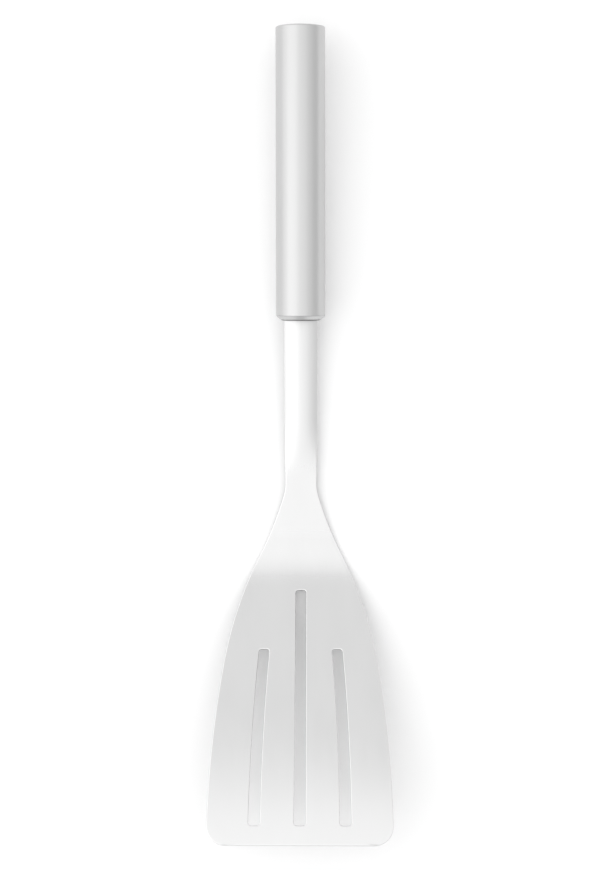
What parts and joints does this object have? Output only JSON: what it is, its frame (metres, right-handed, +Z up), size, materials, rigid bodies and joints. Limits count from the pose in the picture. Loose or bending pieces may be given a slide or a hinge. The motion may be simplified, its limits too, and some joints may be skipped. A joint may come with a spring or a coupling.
{
  "type": "slotted kitchen turner",
  "caption": "Slotted steel kitchen turner: a pressed blade and shank in one sheet, fixed in a round tubular handle with a hanging eye.",
  "frame": {"origin": "on the table, under the middle of the object's box, as it lies with the food side up", "axes": "+Y towards the closed end of the handle, +X to the right of the blade seen from above, +Z up"},
  "size_m": [0.0816, 0.3592, 0.0385],
  "materials": {
    "blade_steel": "bright satin stainless steel",
    "handle_steel": "fine matt stainless steel",
    "collar_steel": "fine matt stainless steel",
    "seal_rubber": "dark silicone rubber",
    "core_plastic": "natural moulded plastic",
    "pin_steel": "plain drawn steel",
    "eye_plastic": "fine matt dark grey plastic",
    "cap_steel": "fine matt stainless steel"
  },
  "bodies": {
    "root": {"blade_and_shank": "blade_steel", "handle_tube": "handle_steel", "front_collar": "collar_steel", "collar_seal": "seal_rubber", "tang_core_upper": "core_plastic", "tang_core_lower": "core_plastic", "tang_pins": "pin_steel", "hanging_eye_insert": "eye_plastic", "end_cap": "cap_steel"}
  },
  "joints": []
}
